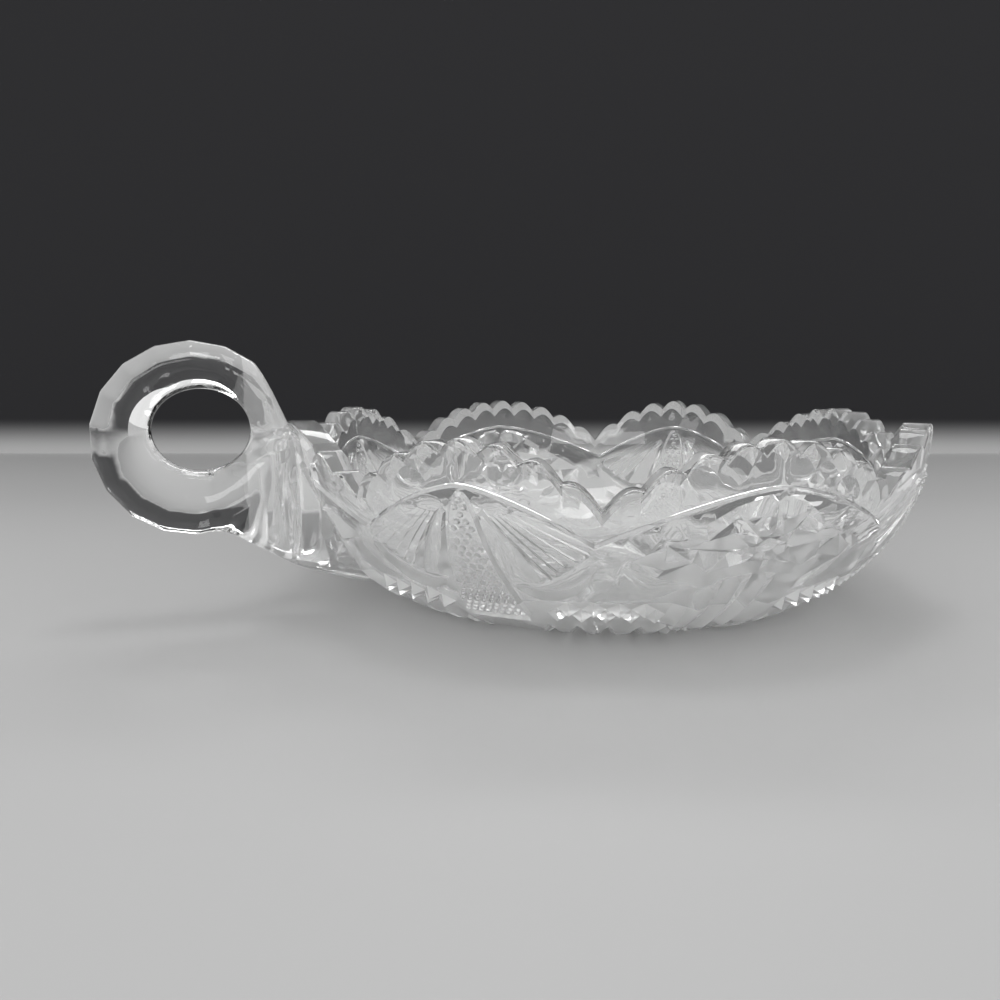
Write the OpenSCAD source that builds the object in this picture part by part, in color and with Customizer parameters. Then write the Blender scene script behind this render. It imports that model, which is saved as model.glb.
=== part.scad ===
// Handled nappy: a shallow round dish of clear pressed glass with a finger ring.
// The origin is the middle of the foot, on the table. +Z is up and the handle points along -X.
// Eight scallops go round the rim in turn, a fan and a star, and the handle takes one star's place.

/* [Bowl] */
// Diameter across the rim
rim_d = 147; // [132:1:164]
// Height of the scallop tips above the table
rim_h = 41.6; // [38:0.2:46]
// Diameter of the flat foot
foot_d = 88; // [82:1:94]
// Thickness of the wall
wall_t = 5; // [4:0.1:6]
// Thickness of the base
base_t = 7; // [5.5:0.1:9]

/* [Rim] */
// Angle of the rim that one fan scallop takes, and a star scallop takes what is left of 90
fan_angle = 40.5; // [37:0.5:45]
// Depth from a scallop's tip to the line of the tooth tips at its ends
scallop_drop = 11.2; // [8:0.1:12.4]
// Depth of the notches between the teeth
tooth_h = 2.4; // [1.4:0.1:3]
// Number of teeth on a fan scallop
fan_teeth = 7; // [5:2:9]
// Number of teeth on a star scallop
star_teeth = 9; // [7:2:11]

/* [Pattern] */
// Height of the plain band between a scallop's tip and the arch under it
band_h = 9.1; // [7.5:0.1:11]
// Depth from the top of an arch to its foot
arch_drop = 10.3; // [8:0.1:11.5]
// How far the pattern stands proud of the wall
relief = 1.2; // [0.8:0.1:1.6]
// Thickness left under the pattern's cuts
ground = 0.4; // [0.3:0.05:0.6]
// Gap between one panel and the next
panel_gap = 1.2; // [0.8:0.1:1.8]
// Width of the cuts between the rays of a fan
cut_w = 1.3; // [0.9:0.1:1.6]
// Number of rays on each side of a fan
rays = 5; // [3:1:6]
// Width of a beaded wedge at its foot
wedge_w = 11; // [9:0.5:13]
// Diameter of a bead
bead_d = 1.3; // [1:0.1:1.5]
// How far a bead stands proud of its wedge
bead_h = 0.45; // [0.3:0.05:0.6]
// Diameter across the points of a star
star_d = 27; // [20:0.5:30]
// Number of points on a star
star_points = 8; // [6:2:10]
// Diameter of the raised hob in the middle of a star
hob_d = 8; // [5:0.5:9]

/* [Base] */
// Number of points on the star under the base
base_points = 16; // [12:2:24]
// Diameter of the hollow under the base
hollow_d = 66; // [58:1:72]
// Depth of the hollow under the base
hollow_h = 0.8; // [0.4:0.1:1.4]
// Depth of the cuts of the star under the base
base_cut = 1.6; // [1:0.1:2.2]

/* [Handle] */
// Outer diameter of the finger ring
ring_d = 40.4; // [37:0.2:44]
// Thickness of the finger ring between its faces
ring_t = 12; // [10:0.2:14]
// Height of the ring's middle above the table
ring_z = 38.5; // [36:0.2:41]
// Number of flats round the ring's edge
ring_flats = 18; // [12:2:24]
// Width of the finger hole
hole_w = 19.4; // [17:0.2:21]
// Height of the finger hole
hole_h = 16.7; // [15:0.2:19]
// How far the hole lies nearer the bowl than the ring's middle
hole_in = 1.6; // [0:0.1:2]
// How far the hole lies above the ring's middle
hole_up = 1.7; // [0:0.1:2]
// Width of the handle's root on the bowl
root_w = 30; // [24:0.5:34]
// Depth of the root below the ring's lowest point, where it leaves the ring
neck_low = 1.2; // [0:0.1:2.5]

/* [Hidden] */
// Roundness of full circles
$fn = 96;
// Room that a cutting shape runs past what it cuts
over = 5;
// Angle that a scallop's cut runs past its end
angle_over = 0.05;
glass = [0.82, 0.9, 0.9];

// Turns of the panels about the bowl's axis
turn = 90;
fan_turns = [for (k = [0 : 3]) turn * (k + 0.5)];
star_turns = [for (k = [0 : 3]) turn * k];
handle_turn = 2 * turn;
star_angle = turn - fan_angle;

// The wall is an arc that stands upright at the rim
rim_r = rim_d / 2;
foot_r = foot_d / 2;
flare = rim_r - foot_r;
arc_r = (flare * flare + rim_h * rim_h) / (2 * flare);
arc_x = rim_r - arc_r;
arc_steps = 10;
// Radius of the flat floor inside the bowl
floor_r = arc_x + sqrt(pow(arc_r - wall_t, 2) - pow(rim_h - base_t, 2));
// Height where the rim begins, just under the feet of the arches
rim_under = 1;
rim_low = rim_h - band_h - arch_drop - rim_under;

// Radius of the wall at a height, moved outwards by a distance along its normal
function wall_r(z, out = 0) = arc_x + sqrt(pow(arc_r + out, 2) - pow(rim_h - z, 2));
// Points of the wall's arc between two heights, even in angle
function arc_points(low, high, out) =
    let (r = arc_r + out)
    let (start = asin((rim_h - low) / r))
    let (end = asin((rim_h - high) / r))
    [for (i = [0 : arc_steps])
        let (a = start + (end - start) * i / arc_steps)
        [arc_x + r * cos(a), rim_h - r * sin(a)]];
function reversed(list) = [for (i = [len(list) - 1 : -1 : 0]) list[i]];

// Plain middle and plain edge that the star under the base leaves
base_hub = 5;
base_edge = 3;

// Rim line of a scallop, where phi runs from -1 to 1 across it
tooth_steps = 6;
// Share of the handle's scallop, each side of its middle, that has no teeth
handle_plain = 5 / 9;
function rim_z(phi, teeth, plain) =
    let (u = (phi + 1) / 2 * teeth)
    let (lift = cos(180 * (u - floor(u) - 0.5)))
    let (notch = abs(phi) < plain ? 0 : tooth_h * (1 - lift) * (1 - phi * phi / 2))
    rim_h - scallop_drop * phi * phi - notch;

// Arch line of a panel, pointed a little more than the scallop
arch_top = rim_h - band_h;
arch_power = 1.6;
arch_steps = 12;
function arch_z(phi) = arch_top - arch_drop * pow(abs(phi), arch_power);
function arch_line(angle, inset) =
    [for (i = [-arch_steps : arch_steps])
        let (phi = i / arch_steps)
        let (z = arch_z(phi) - inset)
        [(wall_r(z) - inset) * sin(phi * angle / 2), z]];
panel_low = 1;
edge_w = 1.6;
star_z = (arch_top + panel_low) / 2;

// Rays of a fan, in degrees from straight down
fan_top = 1.6;
wedge_turn = atan(wedge_w / 2 / (arch_top - fan_top));
ray_last_angle = 74;
function ray_turn(k) = wedge_turn + (ray_last_angle - wedge_turn) * pow(k / rays, 0.8);

// Distance of the ring's middle from the bowl's axis
ring_bite = 0.7;
ring_x = rim_r + ring_d / 2 - ring_bite;
hole_x = ring_x - hole_in;
hole_z = ring_z + hole_up;
ring_steps = 3 * ring_flats;
// The ring's section, from -1 at the hole to 1 at the edge, and from -1 to 1 between the faces
half_section = [[1, 0.4], [0.7, 0.9], [0.35, 1], [-0.35, 0.95], [-0.75, 0.72], [-0.96, 0.3]];
ring_section = concat(half_section, [for (p = reversed(half_section)) [p[0], -p[1]]]);
ring_sides = len(ring_section);

// Sector about the X axis, half_turn degrees each side
module sector(half_turn) {
    reach = 2 * rim_d;
    linear_extrude(2 * rim_h + ring_d)
        polygon([[0, 0], reach * [cos(half_turn), -sin(half_turn)], reach * [cos(half_turn), sin(half_turn)]]);
}

// A flat outline in Y and Z, run out along X through the wall
module through_wall() {
    rotate([90, 0, 90])
        linear_extrude(rim_r + over)
            children();
}

// Everything inside the wall's outer face, moved outwards by a distance
module wall_solid(out = 0) {
    lower = arc_points(0, rim_low, out);
    upper = arc_points(rim_low, rim_h, out);
    rotate_extrude()
        polygon(concat([[0, 0]], lower, [for (i = [1 : arc_steps]) upper[i]], [[0, rim_h]]));
}

// What is cut away above a scallop
module scallop_cut(angle, teeth, plain = 0) {
    mid_r = rim_r - wall_t / 2;
    steps = teeth * tooth_steps;
    low_z = rim_z(1, teeth, plain);
    high_z = rim_h + over;
    wide = (rim_r + over) * sin(angle / 2);
    line = [for (i = [1 : steps - 1])
        let (phi = 2 * i / steps - 1)
        [mid_r * sin(phi * angle / 2), rim_z(phi, teeth, plain)]];
    ends = [[mid_r * sin(angle / 2), low_z], [wide, low_z], [wide, high_z], [-wide, high_z], [-wide, low_z],
        [-mid_r * sin(angle / 2), low_z]];
    intersection() {
        through_wall() polygon(concat(line, ends));
        sector(angle / 2 + angle_over);
    }
}

module bowl_wall() {
    outer = arc_points(0, rim_low, 0);
    inner = reversed(arc_points(base_t, rim_low, -wall_t));
    color(glass)
        rotate_extrude()
            polygon(concat(outer, inner));
}

module scalloped_rim() {
    outer = arc_points(rim_low, rim_h, 0);
    inner = reversed(arc_points(rim_low, rim_h, -wall_t));
    color(glass)
        difference() {
            rotate_extrude()
                polygon(concat(outer, inner));
            for (a = fan_turns)
                rotate(a) scallop_cut(fan_angle, fan_teeth);
            for (a = star_turns)
                rotate(a) scallop_cut(star_angle, star_teeth, a == handle_turn ? handle_plain : 0);
        }
}

module base_disc() {
    side = base_cut * sqrt(2);
    long = hollow_d / 2 - base_hub - base_edge;
    color(glass)
        difference() {
            cylinder(h = base_t, r1 = foot_r, r2 = floor_r);
            translate([0, 0, -over]) cylinder(h = over + hollow_h, d = hollow_d);
            for (k = [1 : base_points])
                rotate(360 * k / base_points)
                    translate([base_hub, 0, hollow_h])
                        rotate([45, 0, 0])
                            translate([0, -side / 2, -side / 2]) cube([long, side, side]);
        }
}

// The raised ground of a panel, under its arch and between its neighbours
module panel_blank(angle, height) {
    line = arch_line(angle, 0);
    wide = rim_r * sin(angle / 2);
    gap_turn = atan(panel_gap / 2 / rim_r);
    intersection() {
        difference() {
            wall_solid(height);
            wall_solid();
        }
        through_wall() polygon(concat([[-wide, panel_low]], line, [[wide, panel_low]]));
        sector(angle / 2 - gap_turn);
    }
}

// Keeps a cut clear of the ground under the pattern
module above_ground() {
    difference() {
        through_wall() children();
        wall_solid(ground);
    }
}

// Outline of a beaded wedge
module wedge_outline(side_gap) {
    high = arch_top - fan_top;
    half = wedge_w / 2 + side_gap;
    polygon([[-half, 0], [half, 0], [side_gap, high], [-side_gap, high]]);
}

module fan_panel(a) {
    high = arch_top - fan_top;
    long = wall_r(0) + over;
    color(glass)
        rotate(a)
            difference() {
                panel_blank(fan_angle, relief);
                through_wall() wedge_outline(cut_w / 4);
                above_ground()
                    for (k = [1 : rays], side = [-1, 1])
                        translate([0, high])
                            rotate(side * ray_turn(k))
                                polygon([[0, 0], [-cut_w / 2, -long], [cut_w / 2, -long]]);
            }
}

// Rows of beads on a wedge, one more in a row as it widens
module bead_outlines() {
    pitch = 1.5 * bead_d;
    rows = floor((arch_top - fan_top - panel_low) / pitch) - 1;
    for (row = [1 : rows]) {
        z = arch_top - fan_top - (row + 0.5) * pitch;
        count = floor((wedge_w * (1 - z / (arch_top - fan_top)) - bead_d / 2) / pitch);
        if (count > 0)
            for (k = [1 : count])
                translate([(k - (count + 1) / 2) * pitch, z]) circle(d = bead_d, $fn = 8);
    }
}

module bead_wedge(a) {
    color(glass)
        rotate(a)
            difference() {
                intersection() {
                    wall_solid(relief + bead_h);
                    union() {
                        intersection() {
                            wall_solid(relief);
                            through_wall() wedge_outline(0);
                        }
                        through_wall() bead_outlines();
                    }
                    sector(fan_angle / 2);
                }
                wall_solid();
            }
}

// An even star, points up
module star_outline(d) {
    polygon([for (k = [0 : 2 * star_points - 1])
        let (r = k % 2 == 0 ? d / 2 : d / 4)
        let (a = 90 + 180 * k / star_points)
        r * [cos(a), sin(a)]]);
}

module star_panel(a) {
    line = arch_line(star_angle, edge_w);
    wide = line[len(line) - 1][0];
    color(glass)
        rotate(a)
            difference() {
                panel_blank(star_angle, relief);
                above_ground()
                    difference() {
                        polygon(concat([[-wide, panel_low + edge_w]], line, [[wide, panel_low + edge_w]]));
                        translate([0, star_z]) star_outline(star_d);
                    }
                above_ground()
                    translate([0, star_z])
                        difference() {
                            circle(d = hob_d + 2 * ground);
                            circle(d = hob_d);
                        }
            }
}

// What the root leaves of the handle's star panel, 1 for the front and -1 for the back
module star_panel_side(side) {
    start = side > 0 ? -rim_r : -root_w / 2;
    color(glass)
        difference() {
            star_panel(handle_turn);
            rotate(handle_turn)
                through_wall() translate([start, 0]) square([rim_r + root_w / 2, rim_h]);
        }
}

// Distance of the ring's flats from its middle
function ring_edge(a) =
    let (flat = 360 / ring_flats)
    let (part = a - flat * floor(a / flat) - flat / 2)
    ring_d / 2 * cos(flat / 2) / cos(part);

// The ring's section runs from the hole's edge to the flats
module ring_body() {
    points = [for (i = [0 : ring_steps - 1], j = [0 : ring_sides - 1])
        let (a = 360 * i / ring_steps)
        let (s = ring_section[j])
        let (out = [ring_x + ring_edge(a) * cos(a), ring_z + ring_edge(a) * sin(a)])
        let (hole = [hole_x + hole_w / 2 * cos(a), hole_z + hole_h / 2 * sin(a)])
        let (p = (out + hole) / 2 + (out - hole) / 2 * s[0])
        [-p[0], ring_t / 2 * s[1], p[1]]];
    faces = [for (i = [0 : ring_steps - 1], j = [0 : ring_sides - 1])
        let (i2 = (i + 1) % ring_steps)
        let (j2 = (j + 1) % ring_sides)
        [i * ring_sides + j, i * ring_sides + j2, i2 * ring_sides + j2, i2 * ring_sides + j]];
    polyhedron(points, faces, convexity = 6);
}

// The root runs from a tail under the wall to the ring
root_tail = 7;
root_start = foot_r + root_tail;
root_end = ring_x - ring_d / 4;
root_steps = 16;
root_sides = 20;
// How far its top lies below the rim, and its slope outside the bowl
root_sunk = 1;
root_slope = 0.8;
root_top = rim_h - root_sunk;
// Height of the tail above the table, and the bow of the lower edge
tail_z = 3.4;
low_bow = 0.28;
root_soft = 0.5;
// Power that keeps the sign, for a section between round and square
function soft(v, power) = sign(v) * pow(abs(v), power);
// Lower and upper edges of the root, and half its width, at a distance from the bowl's axis
function root_low(x) =
    let (u = (x - root_start) / (root_end - root_start))
    let (end_z = ring_z - ring_d / 2 - neck_low)
    tail_z + (end_z - tail_z) * ((1 - low_bow) * u + low_bow * u * u);
function root_high(x) = x < rim_r ? root_top : root_top - root_slope * (x - rim_r);
function root_half(x) =
    let (u = max(0, min(1, (root_end - x) / (root_end - rim_r))))
    ring_t / 2 + (root_w - ring_t) / 2 * u * u;

module handle_root() {
    points = [for (i = [0 : root_steps], j = [0 : root_sides - 1])
        let (x = root_start + (root_end - root_start) * i / root_steps)
        let (t = 360 * j / root_sides)
        let (mid = (root_low(x) + root_high(x)) / 2)
        let (tall = (root_high(x) - root_low(x)) / 2)
        [-x, root_half(x) * soft(cos(t), root_soft), mid + tall * soft(sin(t), root_soft)]];
    sides = [for (i = [0 : root_steps - 1], j = [0 : root_sides - 1])
        let (j2 = (j + 1) % root_sides)
        [i * root_sides + j, i * root_sides + j2, (i + 1) * root_sides + j2, (i + 1) * root_sides + j]];
    near = [for (j = [root_sides - 1 : -1 : 0]) j];
    far = [for (j = [0 : root_sides - 1]) root_steps * root_sides + j];
    color(glass)
        difference() {
            polyhedron(points, concat(sides, [near, far]), convexity = 4);
            wall_solid();
            ring_body();
        }
}

module finger_ring() {
    color(glass)
        difference() {
            ring_body();
            wall_solid();
        }
}

scalloped_rim();
bowl_wall();
base_disc();
fan_panel(fan_turns[3]);  // fan_panel_front_right
fan_panel(fan_turns[0]);  // fan_panel_back_right
fan_panel(fan_turns[1]);  // fan_panel_back_left
fan_panel(fan_turns[2]);  // fan_panel_front_left
star_panel(star_turns[0]);  // star_panel_right
star_panel(star_turns[1]);  // star_panel_back
star_panel(star_turns[3]);  // star_panel_front
star_panel_side(1);  // star_panel_handle_front
star_panel_side(-1);  // star_panel_handle_back
bead_wedge(fan_turns[3]);  // bead_wedge_front_right
bead_wedge(fan_turns[0]);  // bead_wedge_back_right
bead_wedge(fan_turns[1]);  // bead_wedge_back_left
bead_wedge(fan_turns[2]);  // bead_wedge_front_left
handle_root();
finger_ring();
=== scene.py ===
"""Handled nappy of clear pressed glass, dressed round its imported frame."""

import math

import bpy
import numpy as np
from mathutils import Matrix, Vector
from mathutils.geometry import delaunay_2d_cdt
from mathutils.kdtree import KDTree


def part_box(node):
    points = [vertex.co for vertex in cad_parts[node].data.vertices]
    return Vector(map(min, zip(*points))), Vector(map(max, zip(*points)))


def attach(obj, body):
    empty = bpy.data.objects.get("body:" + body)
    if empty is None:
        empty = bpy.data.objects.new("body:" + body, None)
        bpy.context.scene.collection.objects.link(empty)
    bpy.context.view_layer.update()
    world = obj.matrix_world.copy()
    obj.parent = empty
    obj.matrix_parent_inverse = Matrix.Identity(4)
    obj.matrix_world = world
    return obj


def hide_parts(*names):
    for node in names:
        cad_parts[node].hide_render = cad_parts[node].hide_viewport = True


bl_info = {
    "name": "Pressed-glass nappy",
    "version": (1, 0, 0),
    "blender": (4, 5, 0),
    "location": "View3D > Sidebar > Nappy",
    "description": "Builds a handled pressed-glass nappy round its packed frame",
    "category": "Object",
}

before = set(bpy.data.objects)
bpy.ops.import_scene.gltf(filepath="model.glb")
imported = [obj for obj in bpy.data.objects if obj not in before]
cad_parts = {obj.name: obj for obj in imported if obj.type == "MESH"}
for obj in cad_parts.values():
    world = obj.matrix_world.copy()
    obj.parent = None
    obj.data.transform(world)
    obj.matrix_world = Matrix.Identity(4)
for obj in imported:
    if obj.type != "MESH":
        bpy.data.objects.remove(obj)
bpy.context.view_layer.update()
MM = 0.001
HANDLE_NODES = ("handle_root", "finger_ring")
RIM_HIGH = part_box("scalloped_rim")[1]
RING_LOW, RING_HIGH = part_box("finger_ring")
RING_RADIUS = 0.0202


def setting(kind=bpy.props.FloatProperty, **fixed):
    """A maker of one kind of property, from its name, its description and its default."""

    def make(name, description, default):
        return kind(name=name, description=description, default=default, **fixed)

    return make


number = setting()
length = setting(subtype="DISTANCE")
share = setting(subtype="FACTOR")
angle = setting(subtype="ANGLE")
count = setting(bpy.props.IntProperty, min=1)
colour = setting(bpy.props.FloatVectorProperty, size=4, min=0, max=1, subtype="COLOR")


class NappyBowl(bpy.types.PropertyGroup):
    rim_radius: length("Rim radius", "Outer radius of the bowl at the rim", RIM_HIGH.x)
    rim_height: length("Rim height", "Height of the scallop tips above the table", RIM_HIGH.z)
    foot_radius: length("Foot radius", "Radius of the foot on the table", 0.044)
    wall: length("Wall", "Thickness of the wall", 0.005)
    base: length("Base", "Thickness of the base", 0.007)
    edge: length("Edge", "Rounding of the rim's edges", 0.00055)
    bevel: length("Bevel", "Height of the bevel inside the rim", 0.0022)
    swell: length("Rim swell", "How much thicker the rim is than the wall", 0.0028)
    fan_angle: angle("Fan angle", "Part of the rim that one fan scallop takes", math.radians(40.5))
    scallop_drop: length("Scallop drop", "Depth of a scallop's ends below its tip", 0.0112)
    tooth_depth: length("Tooth depth", "Depth of the notches between the teeth", 0.0024)
    fan_teeth: count("Fan teeth", "Teeth on a fan scallop", 7)
    star_teeth: count("Star teeth", "Teeth on a star scallop", 9)
    plain_share: share("Plain share", "Share of the handle's scallop that has no teeth", 5 / 9)


class NappyPattern(bpy.types.PropertyGroup):
    bead_radius: length("Bead radius", "Radius of the beads on a fan's wedge", 0.00062)
    bead_pitch: length("Bead pitch", "Distance between the beads of a row", 0.00162)
    rays: count("Rays", "Cut rays on each side of a fan", 5)
    cut_depth: length("Cut depth", "Depth of the mitre cuts below the wall's face", 0.0008)
    raise_height: length("Raised height", "Height of the raised facets over the wall's face", 0.001)
    base_points: count("Base points", "Points of the star under the base", 16)


class NappyHandle(bpy.types.PropertyGroup):
    ring_radius: length("Ring radius", "Outer radius of the finger ring", RING_RADIUS)
    ring_out: length("Ring distance", "Distance of its middle from the axis", -RING_LOW.x - RING_RADIUS)
    ring_height: length("Ring height", "Height of the ring's middle", (RING_LOW.z + RING_HIGH.z) / 2)
    ring_thick: length("Ring thickness", "Thickness between the ring's faces", RING_HIGH.y - RING_LOW.y)
    ring_flats: count("Ring flats", "Flats round the ring's edge", 18)
    hole_width: length("Hole width", "Width of the finger hole", 0.0194)
    hole_height: length("Hole height", "Height of the finger hole", 0.0167)
    hole_in: length("Hole inset", "How far the hole lies nearer the bowl", 0.0016)
    hole_up: length("Hole rise", "How far the hole lies above the ring's middle", 0.0017)
    root_width: length("Root width", "Width of the root on the bowl", 0.0255)
    grain: length("Grain", "Size of the mesh cells of the handle", 0.0007)


class NappyLook(bpy.types.PropertyGroup):
    tint: colour("Glass tint", "Colour of the clear glass", (0.995, 0.998, 0.996, 1))
    index: number("Index", "Index of refraction of the glass", 1.5)
    polish: share("Roughness", "Roughness of the fire-polished glass", 0.012)
    ripple: length("Ripple", "Height of the faint ripple left by the mould", 0.0001)
    bloom: share("Bloom", "Share of the light that the fine mould texture of the pattern scatters", 0.2)
    # Painted light: this share makes the whiter copy of the glass low on the wall and foot, which stands in
    # for the bright light that the foot refracts
    wear: share("Wear", "Share of the light that the worn foot scatters", 0.42)
    # The floor's colour also paints a glow of light at the backdrop's foot, and the backdrop's near-black
    # colour is painted shade: a dark sheet where there is only darkness
    floor: colour("Floor", "Colour of the floor", (0.46, 0.46, 0.46, 1))
    backdrop: colour("Backdrop", "Colour of the backdrop", (0.012, 0.012, 0.014, 1))
    sky: share("Sky", "Strength of the even light all round", 0.8)


class NappySettings(bpy.types.PropertyGroup):
    bowl: bpy.props.PointerProperty(type=NappyBowl)
    pattern: bpy.props.PointerProperty(type=NappyPattern)
    handle: bpy.props.PointerProperty(type=NappyHandle)
    look: bpy.props.PointerProperty(type=NappyLook)


# Places on the bowl, in degrees round the axis or down the wall's arc
HALF_PANEL = 45.0
HANDLE_TURN = 180.0
ARCH_JOINT = 25.8
ARCH_TOP, ARCH_SAG, ARCH_POWER = 11.1, 13.9, 1.5
INNER_END = 57.5
SWELL_END = 32.0
# Degrees down from which the pattern takes the whiter glass of painted light on the foot
PAINTED_FOOT_LIGHT_DOWN = 46.0
SEAM_HALF = 0.28
# Sizes in mm: radii, and heights above the wall's face or the base
SHEET_RADIUS = 64.0
HOLLOW_RADIUS = 33.0
HOLLOW_HEIGHT = 0.8
FLOOR_FILLET = ((48.4, 0.55), (46.2, 0.18), (43.5, 0))
BASE_STAR = ((HOLLOW_RADIUS, 0), (30, 0.12), (24, 0.7), (17, 1.2), (10, 1.6), (4, 1.6))
BASE_STAR_TAPER = 24
SEAM_RIDGE = 0.14
GROOVE, LIP = -0.3, 0.4
BEAD_RISE = 0.62
NOTCH, SMALL_NOTCH = -2.6, -1.0
LOOP_CLEAR, CAP_CLEAR = 0.9, 1.0
# Steps of the mesh, and the angles in degrees from which its creases are sharp
DISH_CREASE, HANDLE_CREASE = 30, 40
TOOTH_STEPS = 10
FLOOR_STEPS = 16
INNER_STEPS = 12
# Kinds of face, the last being a whiter copy of the glass low on the wall as painted light, and the share of
# the inner face, from the rim down, after which it takes the hazier patterned glass
POLISHED, CONTACT, PATTERNED, PAINTED_FOOT_LIGHT = range(4)
KINDS = ("Polished", "Contact", "Patterned", "Worn")
INNER_HAZE_FROM = 0.4


class Wall:
    """The bowl's outer face, marked in degrees round the axis and degrees down the wall's arc."""

    def __init__(self, bowl):
        self.rim_r = bowl.rim_radius / MM
        self.rim_h = bowl.rim_height / MM
        self.foot_r = bowl.foot_radius / MM
        self.thick = bowl.wall / MM
        self.base = bowl.base / MM
        self.edge = bowl.edge / MM
        self.bevel = bowl.bevel / MM
        self.swell = bowl.swell / MM
        self.drop = bowl.scallop_drop / MM
        self.tooth = bowl.tooth_depth / MM
        self.teeth = (bowl.star_teeth, bowl.fan_teeth)
        self.plain = bowl.plain_share
        self.fan_half = math.degrees(bowl.fan_angle) / 2
        self.star_half = HALF_PANEL - self.fan_half
        flare = self.rim_r - self.foot_r
        self.arc_r = (flare**2 + self.rim_h**2) / (2 * flare)
        self.arc_x = self.rim_r - self.arc_r
        self.foot_down = math.degrees(math.asin(self.rim_h / self.arc_r))
        self.turn_mm = math.radians(SHEET_RADIUS)
        self.down_mm = math.radians(self.arc_r)

    def place(self, turn, down, height):
        """Points in mm for turns, downs and heights above the face; past the foot they lie under the base."""
        turn, down, height = np.broadcast_arrays(*(np.asarray(v, float) for v in (turn, down, height)))
        a = np.radians(np.minimum(down, self.foot_down))
        under = np.maximum(down - self.foot_down, 0) * self.down_mm
        r = self.arc_x + (self.arc_r + height) * np.cos(a)
        z = self.rim_h - (self.arc_r + height) * np.sin(a)
        r = np.where(under > 0, self.foot_r - under, r)
        z = np.maximum(np.where(under > 0, -height, z), 0)
        t = np.radians(turn)
        return np.stack([r * np.cos(t), r * np.sin(t), z], -1)

    def find(self, points):
        """Turn, down and height of points in mm."""
        r = np.hypot(points[..., 0], points[..., 1])
        turn = np.degrees(np.arctan2(points[..., 1], points[..., 0]))
        sink = self.rim_h - points[..., 2]
        down = np.degrees(np.arctan2(sink, r - self.arc_x))
        return turn, down, np.hypot(r - self.arc_x, sink) - self.arc_r

    def sheet(self, turn, down):
        """Place in mm on the flat sheet on which the pattern is laid out."""
        return turn * self.turn_mm, -down * self.down_mm

    def down_at(self, z, inset=0.0):
        """Degrees down the arc at a height, on the face or inside it."""
        return np.degrees(np.arcsin((self.rim_h - z) / (self.arc_r - inset)))

    def rim_turns(self):
        """Turns of the rim's points in half a panel, from the middle of the star to that of the fan."""
        star = np.linspace(0, self.star_half, self.teeth[0] * TOOTH_STEPS // 2 + 1)
        fan = np.linspace(self.star_half, HALF_PANEL, self.teeth[1] * TOOTH_STEPS // 2 + 1)
        return np.concatenate([star, fan[1:]])

    def rim_z(self, turn, plain=0.0):
        """Height of the rim line; plain is the share of the star's scallop without teeth."""
        turn = np.abs(turn)
        star = turn <= self.star_half
        phi = np.where(star, turn / self.star_half, (HALF_PANEL - turn) / self.fan_half)
        tooth = (phi + 1) / 2 * np.where(star, *self.teeth)
        lift = np.cos(math.pi * (tooth - np.floor(tooth + 1e-9) - 0.5))
        notch = self.tooth * (1 - lift) * (1 - phi**2 / 2)
        notch = np.where(star & (phi < plain), 0, notch)
        return self.rim_h - self.drop * phi**2 - notch

    def arch_down(self, turn):
        """Degrees down to the arch line over the star and the fan."""
        turn = np.abs(turn)
        star = turn <= ARCH_JOINT
        phi = np.where(star, turn / ARCH_JOINT, (HALF_PANEL - turn) / (HALF_PANEL - ARCH_JOINT))
        return ARCH_TOP + ARCH_SAG * phi**ARCH_POWER


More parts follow.
